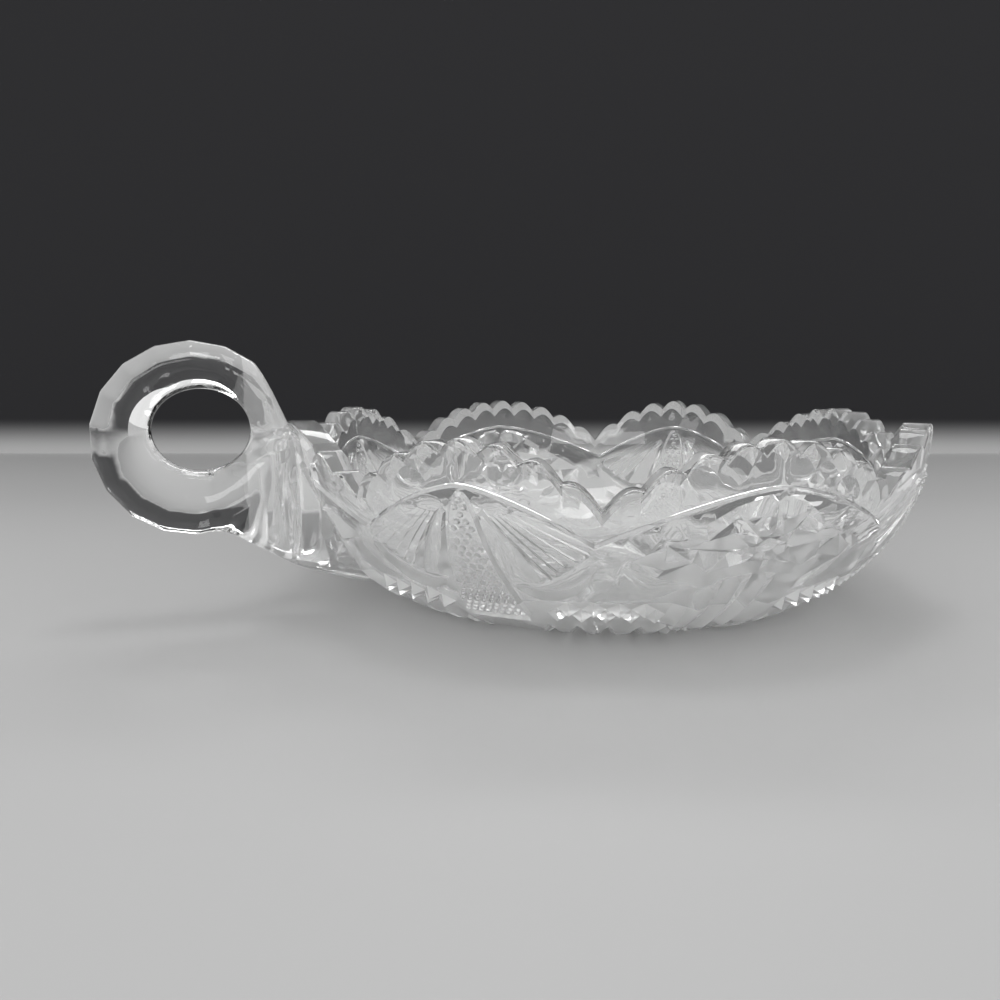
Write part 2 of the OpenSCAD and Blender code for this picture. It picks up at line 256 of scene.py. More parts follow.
class Relief:
    """Marks and creases of the pattern with their heights, joined into one triangulated sheet."""

    def __init__(self, wall):
        self.wall = wall
        self.sheet = wall.sheet
        self.marks = []
        self.lines = []
        self.known = {}

    def mark(self, turn, down, height):
        """The number of the mark at a place, which keeps the first height that it was given."""
        key = (round(float(turn), 3), round(float(down), 3))
        if key not in self.known:
            self.known[key] = len(self.marks)
            self.marks.append((float(turn), float(down), float(height)))
        return self.known[key]

    def crease(self, stops, pitch=1.5):
        """A chain of marks through the stops, no further apart than about pitch mm."""
        chain = []
        for a, b in zip(stops, stops[1:]):
            a, b = np.array(a, float), np.array(b, float)
            far = math.dist(self.sheet(*a[:2]), self.sheet(*b[:2]))
            steps = max(1, round(far / pitch))
            chain += [self.mark(*(a + (b - a) * i / steps)) for i in range(steps + 1)]
        self.lines += [(i, j) for i, j in zip(chain, chain[1:]) if i != j]

    def dome(self, turn, down, radius, low, rise, sides=8):
        """A bead: two rings of marks and a top."""
        for part, lift in ((1, 0), (0.62, 0.72)):
            ring = []
            for k in range(sides):
                a = 2 * math.pi * k / sides
                t = turn + radius * part * math.cos(a) / self.wall.turn_mm
                d = down + radius * part * math.sin(a) / self.wall.down_mm
                if t <= HALF_PANEL + 1e-6:
                    ring.append(self.mark(t, d, low + rise * lift))
            self.lines += list(zip(ring, ring[1:]))
        self.mark(turn, down, low + rise)

    def near_tree(self):
        """A tree that finds the marks near a place on the sheet."""
        tree = KDTree(len(self.marks))
        for i, m in enumerate(self.marks):
            tree.insert((*self.sheet(*m[:2]), 0), i)
        tree.balance()
        return tree

    def fill(self, pitch, keep):
        """Marks on the face on an even grid where keep says so, clear of the marks that are there."""
        tree, clear, side_gap = self.near_tree(), 0.62 * pitch, 0.3
        turns = np.arange(pitch / self.wall.turn_mm, HALF_PANEL - side_gap, pitch / self.wall.turn_mm)
        downs = np.arange(0, self.wall.foot_down, pitch / self.wall.down_mm)
        for t in turns:
            for d in downs:
                if keep(t, d) and tree.find((*self.sheet(t, d), 0))[2] > clear:
                    self.mark(t, d, 0)

    def copy(self, other, side, keep):
        """The marks and creases of another relief that keep allows, mirrored where side is -1."""
        new = {i: self.mark(side * m[0], *m[1:]) for i, m in enumerate(other.marks) if keep(*m[:2])}
        self.lines += [(new[i], new[j]) for i, j in other.lines if i in new and j in new]

    def solve(self, outline):
        """Triangles inside the outline: their corners' marks, and the triangles."""
        corners = [Vector(self.sheet(*m[:2])) for m in self.marks]
        closed = list(zip(outline, outline[1:] + outline[:1]))
        found = delaunay_2d_cdt(corners, self.lines + closed, [], 1, 1e-5)
        tree = self.near_tree()
        marks, sources = [], []
        for place, old in zip(found[0], found[3]):
            if old:
                marks.append(self.marks[old[0]])
                sources.append(old[0])
            else:
                near = [self.marks[i][2] for _, i, _ in tree.find_n((*place, 0), 2)]
                marks.append((place.x / self.wall.turn_mm, -place.y / self.wall.down_mm, sum(near) / 2))
                sources.append(None)
        return np.array(marks), sources, [tuple(f) for f in found[2]]


class PanelPattern:
    """Marks the pattern of half a panel: the star on the left, the fan on the right."""

    def __init__(self, wall, pattern):
        self.wall = wall
        self.relief = Relief(wall)
        self.crease, self.mark = self.relief.crease, self.relief.mark
        self.cut = -pattern.cut_depth / MM
        self.top = pattern.raise_height / MM
        self.bead_r = pattern.bead_radius / MM
        self.bead_pitch = pattern.bead_pitch / MM
        self.rays = pattern.rays
        wedge_high = [(12.2, 0.5), (14, 1.4), (17, 2.1), (20, 2.6)]
        self.wedge = np.array(wedge_high + [(26, 3.3), (34.5, 4.6), (44, 6.1), (52, 7.2)])
        self.petal = np.array([(13, 1.5), (19, 4.8), (24, 6.8), (31, 9.2), (36, 10.8)])

    def fan(self, turn, down, height):
        """A mark given in degrees from the fan's middle."""
        return (HALF_PANEL - turn, down, height)

    def wedge_half(self, down):
        """Half the beaded wedge's width in degrees."""
        return float(np.interp(down, *self.wedge.T))

    def arch(self):
        """The groove along both arches, with its raised lower lip."""
        turns = np.concatenate([np.linspace(0, ARCH_JOINT, 22), np.linspace(ARCH_JOINT, HALF_PANEL, 17)])
        for offset, height in ((-0.9, 0), (-0.55, GROOVE), (0.15, LIP), (0.9, 0.3)):
            self.crease([(t, self.wall.arch_down(t) + offset, height) for t in turns], 9)

    def seam(self):
        """The faint ridge of the mould's seam over the fan."""
        high, low = 2.2, float(self.wall.arch_down(HALF_PANEL)) - 2.4
        for turn, height in ((0, SEAM_RIDGE), (SEAM_HALF, 0)):
            self.crease([self.fan(turn, high, height), self.fan(turn, low, height)])

    def beaded_wedge(self):
        """The wedge in the middle of the fan: a groove round it, a raised bed and rows of beads."""
        bed_top, first_row, end_gap, slope, row_share = 12.9, 14.1, 1.2, 0.5, 0.87
        edge = [self.fan(w, d, GROOVE) for d, w in self.wedge]
        inner = [self.fan(max(w - slope, 0), d, LIP) for d, w in self.wedge[1:]]
        low = self.wedge[-1][0]
        self.crease(edge + [self.fan(0, low + 0.9, GROOVE)])
        self.crease([self.fan(0, bed_top, LIP)] + inner + [self.fan(0, low, LIP)])
        row_pitch = self.bead_pitch * row_share / self.wall.down_mm
        side_pitch = self.bead_pitch / self.wall.turn_mm
        room = self.bead_r / self.wall.turn_mm + slope + 0.05
        for row, down in enumerate(np.arange(first_row, low - end_gap, row_pitch)):
            first = 0 if row % 2 == 0 else side_pitch / 2
            for turn in np.arange(first, self.wedge_half(down) - room, side_pitch):
                self.relief.dome(HALF_PANEL - turn, down, self.bead_r, LIP, BEAD_RISE)

    def petals(self):
        """The smooth petal beside the wedge."""
        downs = np.linspace(15, 36, 9)
        edge, wedge = (np.interp(downs, *side.T) for side in (self.petal, self.wedge))
        self.crease([self.fan(w + 0.35, d, -0.25) for d, w in zip(downs, wedge)])
        for part, height in ((0.25, 0.55), (0.5, 0.75), (0.75, 0.55)):
            side = wedge + (edge - wedge) * part
            self.crease([self.fan(t, d, height) for d, t in zip(downs[1:], side[1:])])
        self.crease([self.fan(t, d, -0.35) for d, t in zip(downs, edge)])

    def cut_rays(self):
        """The mitre cuts from beside the petal's top to the arch's end, each between two raised edges."""
        starts = np.array([(1.9, 13.4), (4.8, 14.6)])
        ends = np.array([(11.6, 35.2), (19.0, 25.6)])
        bow, aside = np.array([0, 1.2]), np.array([0.36, 0.3])
        begin_share, narrow_share = 0.2, 0.4
        for k in range(self.rays):
            part = (k + 0.5) / self.rays
            start = starts[0] + (starts[1] - starts[0]) * part
            end = ends[0] + (ends[1] - ends[0]) * part + bow * math.sin(math.pi * part)
            begin = start + (end - start) * begin_share
            self.crease([self.fan(*begin, -0.1), self.fan(*end, self.cut)])
            for side in (-aside, aside):
                near, far = begin + side * narrow_share, end + side
                self.crease([self.fan(*near, 0.25), self.fan(*far, 0.35)])

    def scoop(self):
        """The smooth almond scoop under the petal and the rays."""
        upper = [(5.6, 37.4), (9, 37.4), (12.4, 35.4), (15.3, 31.6), (18, 28.2), (20.2, 26.6)]
        lower = [(5.6, 37.4), (7.6, 41), (10.5, 43.4), (13.6, 43), (16.4, 40.6), (18.8, 35.4), (20.2, 26.6)]
        for line in (upper, lower):
            self.crease([self.fan(*p, 0.3) for p in line])
        for part, height in ((0.25, -0.15), (0.5, -0.3), (0.75, -0.15)):
            stops = []
            for s in np.linspace(0.12, 0.9, 8):
                t = upper[0][0] + (upper[-1][0] - upper[0][0]) * s
                high, low = np.interp(t, *np.array(upper).T), np.interp(t, *np.array(lower).T)
                stops.append(self.fan(t, high + (low - high) * part, height))
            self.crease(stops)

    def star(self):
        """The star's points and hub, and the mitre line over it."""
        tips = [(0, 14.1), (6.4, 16.2), (13.4, 25.3), (8.6, 33)]
        dips = [(2.5, 20.4), (5.3, 22.6), (5.4, 28), (3.2, 31.4)]
        hub = [(0, 21.4), (2.1, 22.6), (3.0, 25.3), (2.1, 28), (0, 29.2)]
        cap = [(0, 23.2), (1.1, 23.8), (1.6, 25.3), (1.1, 26.8), (0, 27.4)]
        tip_high, flank_high, cap_high, hub_high = 0.1, 0.5, 0.3, self.top + 0.2
        for k, dip in enumerate(dips):
            deep = (*dip, self.cut - 0.2)
            self.crease([(*tips[k], tip_high), deep])
            for ends, height in ((tips[k + 1 : k + 2], tip_high), (hub[k : k + 2], flank_high)):
                for p in ends:
                    self.crease([deep, (*p, height)])
        for k, tip in enumerate(tips):
            self.crease([(*tip, tip_high), (*hub[k], hub_high)])
        self.crease([(*p, hub_high) for p in hub])
        self.crease([(*p, cap_high) for p in cap])
        self.mark(0, hub[2][1], self.top)
        mitre = [(1.6, 13.2), (5.8, 15.4), (10, 19.8), (15.2, 25.3), (20.3, 29.9), (24.4, 33.6)]
        self.crease([(*p, self.cut) for p in mitre])
        aside, under = 1.9, 1.8
        for t, d in mitre[1:-1]:
            end = t + aside
            self.crease([(t, d, self.cut), (end, float(self.wall.arch_down(end)) + under, -0.1)])
        for t, d in ((8.6, 20.4), (9.8, 29.6), (13.0, 22.3)):
            self.mark(t, d, self.top)

    def diamonds(self, start, along, across, keep):
        """Raised diamonds between two sets of mitre cuts."""
        start, along, across = (np.array(v, float) for v in (start, along, across))
        nodes = {}
        reach = range(-12, 13)
        for i in reach:
            for j in reach:
                t, d = start + i * along + j * across
                if keep(t, d):
                    nodes[i, j] = (t, d, self.cut)
        for (i, j), here in nodes.items():
            for there in ((i + 1, j), (i, j + 1)):
                if there in nodes:
                    self.crease([here, nodes[there]], 9)
            if all(n in nodes for n in ((i + 1, j), (i, j + 1), (i + 1, j + 1))):
                t, d = start + (i + 0.5) * along + (j + 0.5) * across
                self.mark(t, d, self.top)

    def skirt(self):
        """The fluted block under the star."""
        edge = [(0, 32.9), (2.4, 33.2), (4.8, 34), (7.2, 35), (9.6, 36.4)]
        ridges, ridge_high, low = (1, 3, 4), 0.8, 58.5
        self.crease([(*p, ridge_high) for p in edge])
        for k, (t, top) in enumerate(edge):
            height, lead = (ridge_high, 0) if k in ridges else (GROOVE, 1.2)
            self.crease([(t, top + lead, height), (t, low, height)], 2.2)

    def foot(self):
        """Blocks along the foot with notches between them, which run on under the base."""
        foot = self.wall.foot_down
        inner = foot + 6 / self.wall.down_mm
        stops = {t: 0 for t in (0.0, 1.2, 3.6, 6, HALF_PANEL)}
        for t in (2.4, 4.8, 7.2):
            self.crease([(t, 61, 0.3), (t, foot, SMALL_NOTCH), (t, inner - 3, 0)], 2)
            stops[t] = SMALL_NOTCH
        half = 2
        for t in (10.2, 16, 22.7, 29.3, 35.4):
            self.crease([(t, 58.6, 0), (t, 64, -1.6), (t, foot, NOTCH), (t, inner, 0)], 2)
            for side in (-half, half):
                end = t + side
                self.crease([(t + side * 0.6, 60, 0.4), (end, 66, 0.45), (end, foot - 0.5, 0)], 3)
            stops.update({t - half: 0, t: NOTCH, t + half: 0})
        self.crease([self.fan(0, 54.5, 0.6), self.fan(7, 54.5, 0.6), self.fan(7.4, foot - 0.5, 0)], 3)
        self.crease([(t, foot, stops[t]) for t in sorted(stops)], 2)

    def build(self):
        """Marks every form of the half panel."""
        fan = (self.seam, self.beaded_wedge, self.petals, self.cut_rays, self.scoop)
        for form in (self.arch, *fan, self.star, self.skirt):
            form()
        self.diamonds((15.2, 25.3), (5.1, 4.9), (-4.3, 5.4), self.keep_large)
        self.diamonds((12, 46), (2.3, 3.1), (-2.3, 3.1), self.keep_small)
        self.foot()
        self.relief.fill(2.0, self.keep_band)
        return self.relief

    def keep_large(self, t, d):
        """True where the large diamonds lie, under the mitre line."""
        right = 24.4 if d < 36 else 27
        return 10.6 < t < right and 24.6 < d < 45.5 and d - 24.9 > (t - 15.2) * 0.95 - 0.5

    def keep_small(self, t, d):
        """True where the small diamonds lie, between the scoop and the foot."""
        return 10 < t < HALF_PANEL - self.wedge_half(d) - 1.2 and 45.8 < d < 57.8

    def keep_band(self, t, d):
        """True on the plain band between the rim and the arches."""
        return self.wall.down_at(self.wall.rim_z(t)) + 1.5 < d < self.wall.arch_down(t) - 2.5


def panel_outline(relief, wall, turns, plain=0.0):
    """Marks round the sheet's edge: the rim line, both sides and the line under the base."""
    end = wall.foot_down + (wall.foot_r - HOLLOW_RADIUS - 1) / wall.down_mm
    rim_down = wall.down_at(wall.rim_z(turns, plain) - wall.edge)
    rim = [relief.mark(t, d, 0) for t, d in zip(turns, rim_down)]
    steps = round((turns[-1] - turns[0]) / HALF_PANEL * FLOOR_STEPS)
    base = [relief.mark(t, end, 0) for t in np.linspace(turns[0], turns[-1], steps + 1)]
    sides = []
    for turn in (turns[0], turns[-1]):
        found = [i for i, m in enumerate(relief.marks) if abs(m[0] - turn) < 1e-4]
        sides.append(sorted(found, key=lambda i: relief.marks[i][1]))
    outline = rim[::-1] + sides[0][1:] + base[1:] + sides[1][::-1][1:-1]
    return outline, rim, base


class Shell:
    """Collects corners and faces in mm for one mesh."""

    def __init__(self):
        self.corners = []
        self.faces = []
        self.kinds = []

    def add(self, points):
        first = len(self.corners)
        self.corners += [tuple(p) for p in points]
        return list(range(first, len(self.corners)))

    def face(self, *corners, kind=POLISHED):
        self.faces.append(corners)
        self.kinds.append(kind)

    def strip(self, low, high, kind=POLISHED):
        """Quads between two rows of corners."""
        for a, b, c, d in zip(low, low[1:], high[1:], high):
            self.face(a, b, c, d, kind=kind)

    def mesh(self, name):
        mesh = bpy.data.meshes.new(name)
        mesh.from_pydata([[v * MM for v in c] for c in self.corners], [], self.faces)
        kinds = mesh.attributes.new("kind", "INT", "FACE")
        kinds.data.foreach_set("value", self.kinds)
        mesh.update()
        return mesh


def finish_panel(wall, relief, turns, plain, pattern, inside):
    """The whole thickness of a panel: pattern, rim, inside and base; inside tells the handle's patch."""
    outline, rim, base = panel_outline(relief, wall, turns, plain)
    marks, sources, triangles = relief.solve(outline)
    shell = Shell()
    shell.add(wall.place(*marks.T))
    for tri in triangles:
        turn, down, _ = marks[list(tri)].mean(0)
        # Low on the wall the pattern takes the whiter glass, painted light for the bright light that the foot
        # refracts
        face_kind = PAINTED_FOOT_LIGHT if down > PAINTED_FOOT_LIGHT_DOWN else PATTERNED
        shell.face(*tri, kind=CONTACT if inside(turn, down) else face_kind)
    where = {s: i for i, s in enumerate(sources) if s is not None}
    last = [where[i] for i in rim]
    t = np.radians(turns)
    rim_z = wall.rim_z(turns, plain)
    edge = wall.edge

    def row(radius, height):
        radius, height = np.broadcast_to(radius, t.shape), np.broadcast_to(height, t.shape)
        return shell.add(np.stack([radius * np.cos(t), radius * np.sin(t), height], -1))

    def inset(down):
        """Depth of the inner face behind the outer one, with the swell that fades away from the rim."""
        return wall.thick + wall.swell * np.maximum(1 - down / SWELL_END, 0) ** 2

    def inner_face(down):
        """Radius and height of the inner face."""
        a, reach = np.radians(down), wall.arc_r - inset(down)
        return wall.arc_x + reach * np.cos(a), wall.rim_h - reach * np.sin(a)

    low = rim_z - wall.bevel
    first = wall.down_at(low, inset(wall.down_at(low, wall.thick)))
    inner, low = inner_face(first)
    outer = wall.arc_x + np.sqrt(wall.arc_r**2 - (wall.rim_h - (rim_z - edge)) ** 2)
    ease, slant = 0.3 * edge, 0.75 * wall.bevel
    rims = ((outer - ease, rim_z - ease), (outer - edge, rim_z), (inner + slant, rim_z), (inner, low))
    rows = [(*rim, POLISHED) for rim in rims]
    for part in np.linspace(0, 1, INNER_STEPS + 1)[1:]:
        # Lower on the inner face the glass is the hazier patterned glass
        kind = PATTERNED if part > INNER_HAZE_FROM else POLISHED
        rows.append((*inner_face(first + (INNER_END - first) * part), kind))
    rows += [(radius, wall.base + lift, PATTERNED) for radius, lift in FLOOR_FILLET]
    for radius, z, kind in rows:
        new = row(radius, z)
        shell.strip(last, new, kind)
        last = new
    pole = shell.add([(0, 0, wall.base)])[0]
    for a, b in zip(last, last[1:]):
        shell.face(a, b, pole, kind=PATTERNED)
    under_base(shell, [where[i] for i in base], turns, pattern)
    return shell, marks, sources, triangles


def under_base(shell, last, turns, pattern):
    """The hollow under the base and its star of tapering mitres."""
    t = np.linspace(turns[0], turns[-1], len(last))
    wave = np.abs((t / (360 / pattern.base_points)) % 1 - 0.5) * 2
    a = np.radians(t)
    for radius, depth in BASE_STAR:
        taper = radius / BASE_STAR_TAPER
        z = HOLLOW_HEIGHT + depth * np.clip(wave * (1 + taper) - taper, 0, 1)
        new = shell.add(np.stack([radius * np.cos(a), radius * np.sin(a), z], -1))
        shell.strip(new, last)
        last = new
    pole = shell.add([(0, 0, HOLLOW_HEIGHT + BASE_STAR[-1][1])])[0]
    for a, b in zip(last, last[1:]):
        shell.face(b, a, pole)


class HandleForm:
    """The ring and its root as one smooth field in mm, negative inside the glass."""

    soft_ring, soft_joint, soft_trim, soft_hole = 0.7, 3.0, 1.2, 0.8

    def __init__(self, wall, handle):
        self.wall = wall
        self.radius = handle.ring_radius / MM
        self.out = handle.ring_out / MM
        self.height = handle.ring_height / MM
        self.half = handle.ring_thick / MM / 2
        self.flat = 2 * math.pi / handle.ring_flats
        self.hole = (handle.hole_width / MM / 2, handle.hole_height / MM / 2)
        self.hole_out = self.out - handle.hole_in / MM
        self.hole_z = self.height + handle.hole_up / MM
        self.root_half = handle.root_width / MM / 2
        self.neck = self.out - self.radius / 2
        self.pitch = handle.grain / MM

    @staticmethod
    def smooth_max(a, b, soft):
        """The larger of two distances, with a rounding where they meet."""
        return np.maximum(a, b) + soft * 0.25 * np.maximum(1 - np.abs(a - b) / soft, 0) ** 2

    @staticmethod
    def oval(u, v, wide, tall):
        """Distance to an oval, about true near its edge."""
        ratio = np.sqrt((u / wide) ** 2 + (v / tall) ** 2) + 1e-9
        slope = np.sqrt((u / wide**2) ** 2 + (v / tall**2) ** 2) + 1e-9
        return ratio * (ratio - 1) / slope

    def ring(self, out, y, z):
        """The ring: flats round its edge, bevels, and faces that round off into the hole."""
        bevel_from, bevel_slope, face_width = 0.35, 0.85, 7.6
        u, v = out - self.out, z - self.height
        around = np.arctan2(v, u)
        part = (around + self.flat / 2) % self.flat - self.flat / 2
        apothem = self.radius * math.cos(self.flat / 2)
        edge = np.hypot(u, v) * np.cos(part) - apothem
        side = np.abs(y)
        bevel = (edge + (side - bevel_from * self.half) * bevel_slope) / math.hypot(1, bevel_slope)
        hole = self.oval(out - self.hole_out, z - self.hole_z, *self.hole)
        face = self.oval(np.maximum(face_width - hole, 0), y, face_width, self.half)
        return self.smooth_max(self.smooth_max(edge, bevel, self.soft_ring), face, self.soft_ring)

    def root(self, out, y, z):
        """The root: broad on the bowl, as thick as the ring at its neck, with a rounded underside."""
        low_z, ring_lift, bend = 3.4, 0.4, 0.55
        neck_share, tuck, tuck_from, tuck_reach = 0.92, 5, 66, 15
        belly, belly_z, belly_reach, waist, waist_z = 1.8, 22, 6, 0.014, 26
        top_z, top_slope = 40.2, 0.8
        low_soft, low_scale, top_soft, top_scale = 8.0, 0.88, 2.0, 0.8
        start, end = self.wall.foot_r + 7, self.out - self.radius / 4
        u = (out - start) / (end - start)
        low = low_z + (self.height - self.radius + ring_lift - low_z) * ((1 - bend) * u + bend * u**2)
        flare = np.clip((self.neck - out) / (self.neck - self.wall.rim_r), 0, 1) ** 2
        narrow = self.half * neck_share
        swell = belly * np.exp(-(((z - belly_z) / belly_reach) ** 2)) - waist * (z - waist_z) ** 2
        half = narrow + (self.root_half - narrow + swell) * flare
        half = half - tuck * np.clip((tuck_from - out) / tuck_reach, 0, 1) ** 2
        phi = np.degrees(np.arctan2(y, np.maximum(out, 1))) / self.wall.star_half
        top = top_z - self.wall.drop * phi**2 - top_slope * np.maximum(out - self.wall.rim_r, 0)
        body = self.smooth_max(np.abs(y) - half, (low - z) * low_scale, low_soft)
        body = self.smooth_max(body, (z - top) * top_scale, top_soft)
        return self.smooth_max(body, out - end, top_soft)

    def field(self, points):
        """Ring and root together, trimmed beside the rim and open at the hole."""
        rim_out, rim_z, rim_slope, shelf_z = 73.4, 40.4, 2.2, 39.4
        out, y, z = -points[..., 0], points[..., 1], points[..., 2]
        both = -self.smooth_max(-self.ring(out, y, z), -self.root(out, y, z), self.soft_joint)
        trim = (z - rim_z - rim_slope * (out - rim_out)) / math.hypot(1, rim_slope)
        body = self.smooth_max(both, np.minimum(trim, z - shelf_z), self.soft_trim)
        hole = self.oval(out - self.hole_out, z - self.hole_z, *self.hole)
        return self.smooth_max(body, -hole, self.soft_hole)

    def slope(self, points):
        """The field's slope along each axis."""
        step = 0.02
        moves = np.eye(3) * step
        return np.stack([(self.field(points + m) - self.field(points - m)) / (2 * step) for m in moves], -1)

    def settle(self, points, rounds=4):
        """Moves points onto the surface."""
        least_slope, longest = 0.05, 0.5
        for _ in range(rounds):
            slope = self.slope(points)
            move = self.field(points)[:, None] * slope / np.maximum((slope**2).sum(-1), least_slope)[:, None]
            points = points - np.clip(move, -longest, longest)
        return points

    def net(self, shift):
        """Corners and triangles of the surface, by surface nets on an even grid moved by part of a cell."""
        pad, side, inside = 1.0, self.root_half + 1.4, 4
        low = np.array([-self.out - self.radius - pad, -side, pad]) + shift * self.pitch
        high = np.array([-self.wall.foot_r - inside, side, self.height + self.radius + pad])
        steps = np.ceil((high - low) / self.pitch).astype(int) + 1
        axes = [low[k] + self.pitch * np.arange(steps[k]) for k in range(3)]
        across = self.half / (round(self.half / self.pitch) + 0.5)
        steps[1] = 2 * math.ceil(high[1] / across) + 1
        axes[1] = across * (np.arange(steps[1]) - steps[1] // 2)
        grid = np.stack(np.meshgrid(*axes, indexing="ij"), -1)
        value = self.field(grid)
        solid = value < 0
        unit = np.eye(3, dtype=int)
        total, hits = np.zeros((*(steps - 1), 3)), np.zeros(steps - 1)

        def window(array, first, size):
            return array[tuple(slice(f, f + n) for f, n in zip(first, size))]

        for axis in range(3):
            size = steps - unit[axis]
            a, b = (window(value, first, size) for first in (0 * unit[axis], unit[axis]))
            p, q = (window(grid, first, size) for first in (0 * unit[axis], unit[axis]))
            cross = (a < 0) != (b < 0)
            place = p + (q - p) * (a / np.where(cross, a - b, 1))[..., None]
            one, two = np.delete(unit, axis, 0)
            for first in (0 * one, two, one, one + two):
                met = window(cross, first, steps - 1)
                total += np.where(met[..., None], window(place, first, steps - 1), 0)
                hits += met
        used = hits > 0
        cells = np.zeros(steps - 1, int)
        cells[used] = np.arange(used.sum())
        corners = self.settle(total[used] / hits[used][:, None])
        triangles = []
        for axis in range(3):
            one, two = unit[(axis + 1) % 3], unit[(axis + 2) % 3]
            size = steps - unit[axis] - 2 * (one + two)
            here, there = (window(solid, one + two + move, size) for move in (0 * one, unit[axis]))
            places = np.argwhere(here != there)
            around = (0 * one, one, one + two, two)
            quad = np.stack([cells[tuple((places + move).T)] for move in around], -1)
            quad = np.where(here[tuple(places.T)][:, None], quad, quad[:, ::-1])
            triangles += [quad[:, [0, 1, 2]], quad[:, [0, 2, 3]]]
        return corners, np.concatenate(triangles)

    def clipped(self):
        """The surface outside the bowl's wall, and the loop where it meets the wall."""
        grids, snap = 12, 0.25 * self.pitch
        for shift in np.linspace(0, 1, grids, endpoint=False):
            corners, triangles = self.net(shift)
            if not crowded(triangles):
                break
        else:
            raise RuntimeError("The handle's surface touches itself on every grid")
        turn, down, height = self.wall.find(corners)
        near = np.abs(height) < snap
        corners[near] = self.wall.place(turn[near], down[near], 0)
        height[near] = 0
        corners = list(map(tuple, corners))
        made = {}

        def crossing(i, j):
            key = (min(i, j), max(i, j))
            if key not in made:
                a, b = np.array(corners[key[0]]), np.array(corners[key[1]])
                part = height[key[0]] / (height[key[0]] - height[key[1]])
                t, d, _ = self.wall.find(a + (b - a) * part)
                made[key] = len(corners)
                corners.append(tuple(self.wall.place(t, d, 0)))
            return made[key]

        faces = []
        for tri in triangles:
            if max(height[tri]) <= 0:
                continue
            face = []
            for i, j in zip(tri, np.roll(tri, -1)):
                if height[i] >= 0:
                    face.append(int(i))
                if height[i] * height[j] < 0:
                    face.append(crossing(int(i), int(j)))
            faces += [(face[0], face[k], face[k + 1]) for k in range(1, len(face) - 1)]
        used = sorted({c for f in faces for c in f})
        new = {c: k for k, c in enumerate(used)}
        faces = [tuple(new[c] for c in f) for f in faces]
        loop = open_loop(faces)
        corners, faces = split_chords([corners[c] for c in used], faces, loop)
        return np.array(corners), faces, loop


def crowded(triangles):
    """True if an edge has more than two triangles."""
    edges = np.sort(np.concatenate([triangles[:, [0, 1]], triangles[:, [1, 2]], triangles[:, [2, 0]]]), 1)
    return np.unique(edges, axis=0, return_counts=True)[1].max() > 2


def open_loop(faces):
    """The one loop of open edges of a surface, in order."""
    edges = {(a, b) for f in faces for a, b in zip(f, f[1:] + f[:1])}
    follow = {b: a for a, b in edges if (b, a) not in edges}
    loop = [next(iter(follow))]
    while follow[loop[-1]] != loop[0]:
        loop.append(follow[loop[-1]])
    if len(loop) != len(follow):
        raise RuntimeError("The handle has to meet the wall along one loop")
    return loop


def split_chords(corners, faces, loop):
    """Puts a corner on each inner edge between two corners of the loop, so that no cap shares that edge."""
    rim = set(loop)
    ring = {frozenset(pair) for pair in zip(loop, loop[1:] + loop[:1])}
    made, result = {}, []
    for face in faces:
        around = []
        for a, b in zip(face, face[1:] + face[:1]):
            around.append(a)
            pair = frozenset((a, b))
            if pair <= rim and pair not in ring:
                if pair not in made:
                    made[pair] = len(corners)
                    corners.append(tuple((np.array(corners[a]) + np.array(corners[b])) / 2))
                around.append(made[pair])
        first = max(range(len(around)), key=lambda k: around[k] in made.values())
        around = around[first:] + around[:first]
        result += [(around[0], around[k], around[k + 1]) for k in range(1, len(around) - 1)]
    return corners, result


def in_polygon(polygon, x, y):
    """True for a point inside a closed polygon of numpy rows."""
    a, b = polygon, np.roll(polygon, -1, 0)
    rise = (a[:, 1] > y) != (b[:, 1] > y)
    with np.errstate(divide="ignore", invalid="ignore"):
        at = a[:, 0] + (y - a[:, 1]) / (b[:, 1] - a[:, 1]) * (b[:, 0] - a[:, 0])
    return bool(np.count_nonzero(rise & (x < at)) % 2)


class Wire:
    """A node's socket that takes part in Python arithmetic; with no socket it only makes nodes."""

    def __init__(self, tree, socket=None):
        self.tree = tree
        self.socket = socket

    def node(self, kind, output, settings=(), **inputs):
        """One output of a new node, with its settings first and then its sockets' values or links."""
        made = self.tree.nodes.new(kind)
        for key, value in dict(settings).items():
            setattr(made, key, value)
        for key, value in inputs.items():
            socket = made.inputs[int(key[1:])] if key[1:].isdigit() else made.inputs[key.replace("_", " ")]
            for part in value if isinstance(value, list) else [value]:
                if isinstance(part, Wire):
                    self.tree.links.new(part.socket, socket)
                else:
                    socket.default_value = part
        return Wire(self.tree, None if output is None else made.outputs[output])

    def math(self, operation, a, b):
        return self.node("ShaderNodeMath", 0, {"operation": operation}, s0=a, s1=b)

    def __add__(self, other):
        return self.math("ADD", self, other)

    def __mul__(self, other):
        return self.math("MULTIPLY", self, other)

    def __sub__(self, other):
        return self.math("SUBTRACT", self, other)

    def __rsub__(self, other):
        return self.math("SUBTRACT", other, self)

    __radd__ = __add__
    __rmul__ = __mul__


def new_material(name, **values):
    """A material, and its Principled shader with the given values."""
    material = bpy.data.materials.new(name)
    material.use_nodes = True
    shader = material.node_tree.nodes["Principled BSDF"]
    for key, value in values.items():
        shader.inputs[key.replace("_", " ")].default_value = value
    return material, shader


# Scale and detail of the glass's broad and fine ripple, and the share of the fine one
RIPPLES = ((70.0, 1.0), (320.0, 2.0))
FINE_SHARE = 0.12


